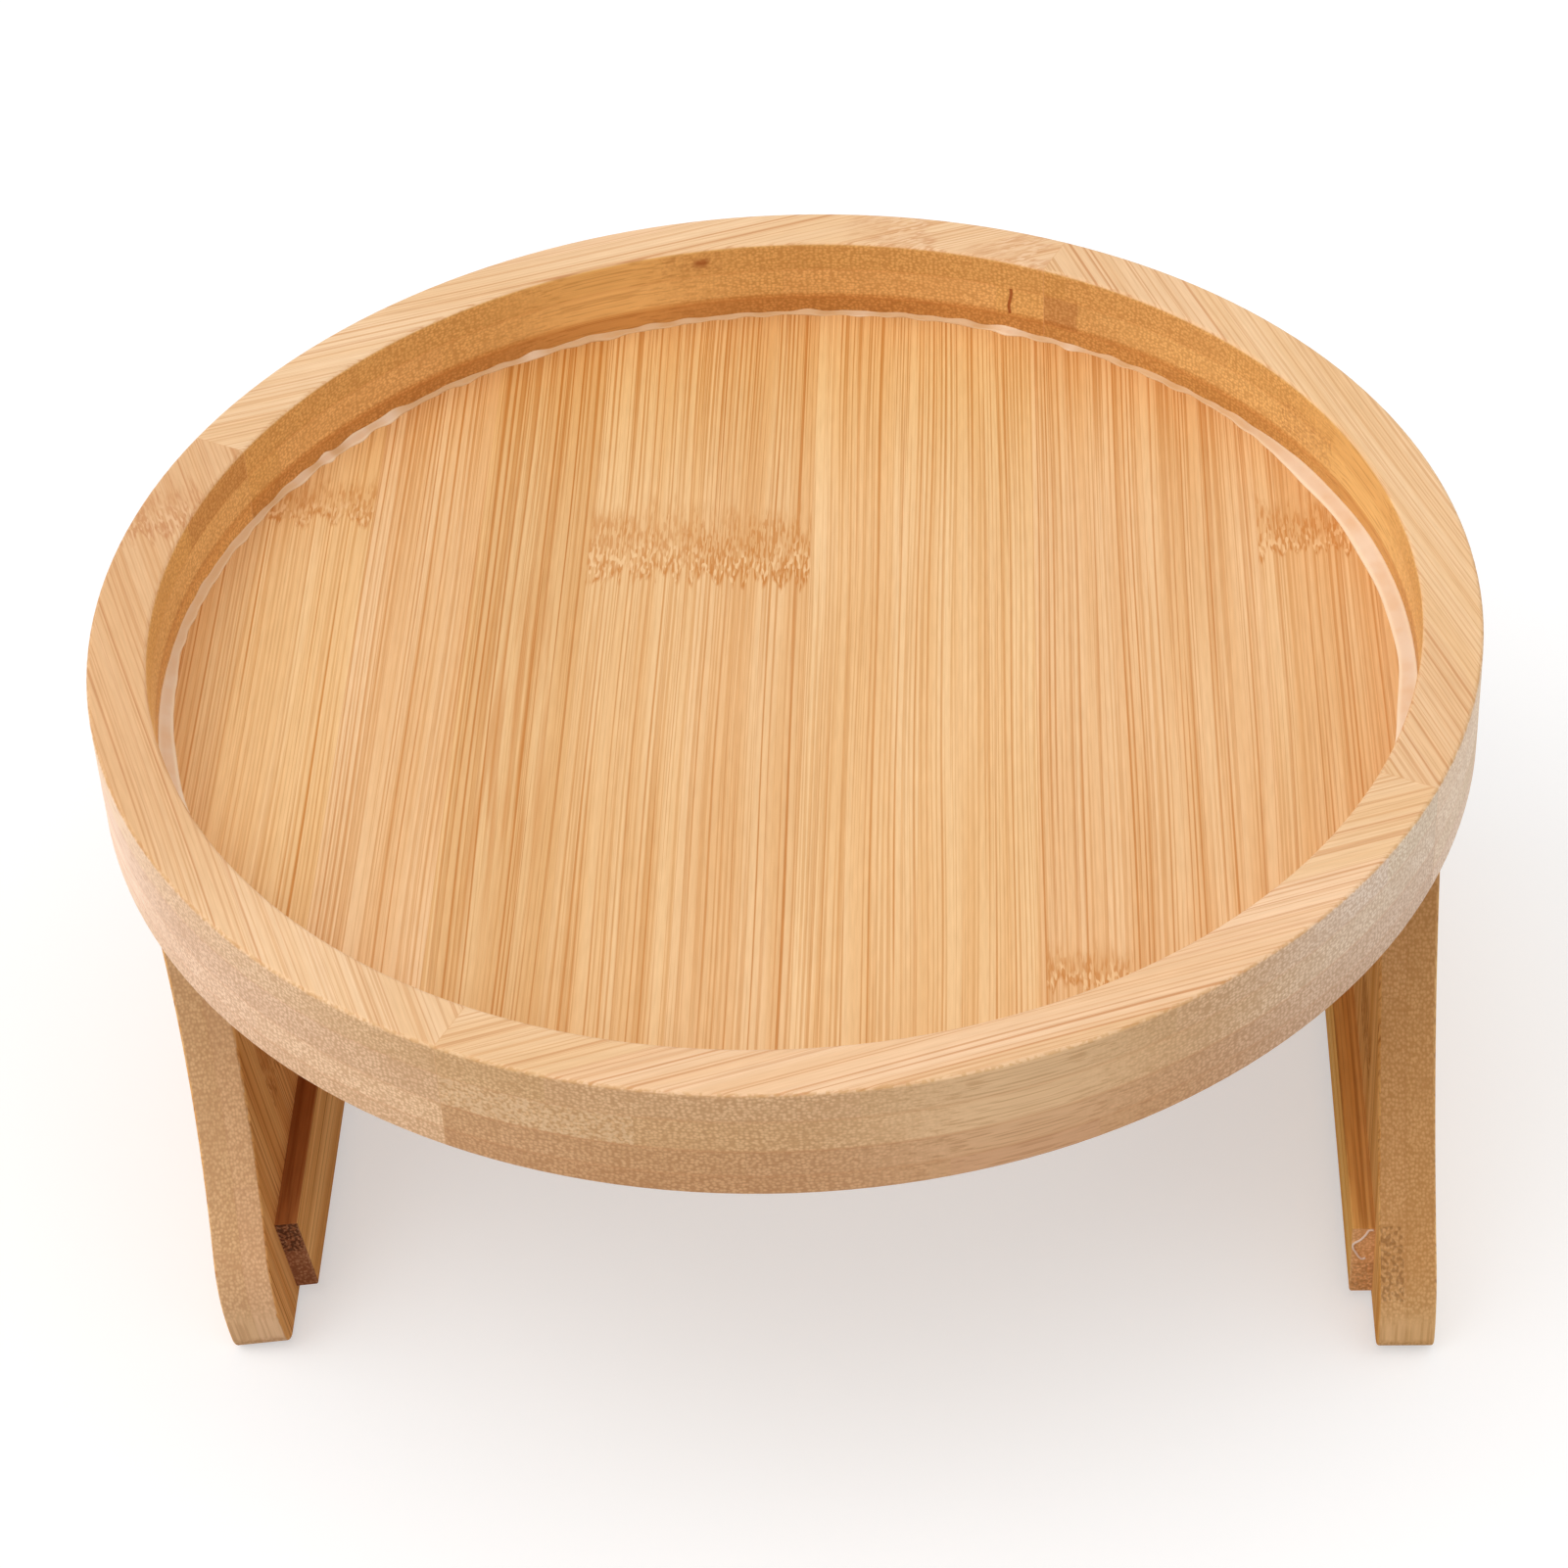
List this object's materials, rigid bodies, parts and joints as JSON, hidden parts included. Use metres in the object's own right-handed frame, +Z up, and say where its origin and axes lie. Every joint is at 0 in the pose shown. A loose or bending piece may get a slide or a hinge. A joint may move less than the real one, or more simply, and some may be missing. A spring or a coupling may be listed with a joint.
{
  "type": "sofa arm tray",
  "caption": "Round rimmed bamboo tray on hinged flared wings with foot battens that fold out to straddle a sofa arm and fold flat beneath.",
  "frame": {"origin": "on the floor under the middle of the tray, at the level of the wings' feet", "axes": "+Z up out of the tray, +X from the left wing to the right wing, +Y along the hinge pins away from the viewer"},
  "size_m": [0.25, 0.25, 0.1159],
  "materials": {
    "rim_right": "sanded bamboo under a thin matt varnish",
    "rim_back": "sanded bamboo under a thin matt varnish",
    "rim_left": "sanded bamboo under a thin matt varnish",
    "rim_front": "sanded bamboo under a thin matt varnish",
    "board": "sanded bamboo under a thin matt varnish",
    "left_wing": "sanded bamboo under a thin matt varnish",
    "right_wing": "sanded bamboo under a thin matt varnish",
    "left_batten": "sanded bamboo under a thin matt varnish",
    "right_batten": "sanded bamboo under a thin matt varnish",
    "glue": "dried translucent wood glue",
    "hinge_steel": "zinc plated steel sheet",
    "pin_steel": "plain steel wire",
    "screw_steel": "zinc plated steel"
  },
  "bodies": {
    "tray_body": {"rim_segment_right": "rim_right", "rim_segment_back": "rim_back", "rim_segment_left": "rim_left", "rim_segment_front": "rim_front", "tray_board": "board", "glue_bead": "glue", "left_front_tray_leaf": "hinge_steel", "left_front_hinge_pin": "pin_steel", "left_back_tray_leaf": "hinge_steel", "left_back_hinge_pin": "pin_steel", "right_front_tray_leaf": "hinge_steel", "right_front_hinge_pin": "pin_steel", "right_back_tray_leaf": "hinge_steel", "right_back_hinge_pin": "pin_steel", "tray_hinge_screws": "screw_steel"},
    "left_wing_body": {"left_wing": "left_wing", "left_batten": "left_batten", "left_front_wing_leaf": "hinge_steel", "left_back_wing_leaf": "hinge_steel", "left_wing_hinge_screws": "screw_steel"},
    "right_wing_body": {"right_wing": "right_wing", "right_batten": "right_batten", "right_front_wing_leaf": "hinge_steel", "right_back_wing_leaf": "hinge_steel", "right_wing_hinge_screws": "screw_steel"}
  },
  "joints": [
    {"name": "left_wing_fold", "type": "hinge", "parent": "tray_body", "child": "left_wing_body", "pos_m": [-0.1034, 0, 0.09026], "axis": [0, -1, 0], "range_deg": [-8, 82]},
    {"name": "right_wing_fold", "type": "hinge", "parent": "tray_body", "child": "right_wing_body", "pos_m": [0.1034, -0.0025, 0.09026], "axis": [0, 1, 0], "range_deg": [0, 90]}
  ]
}
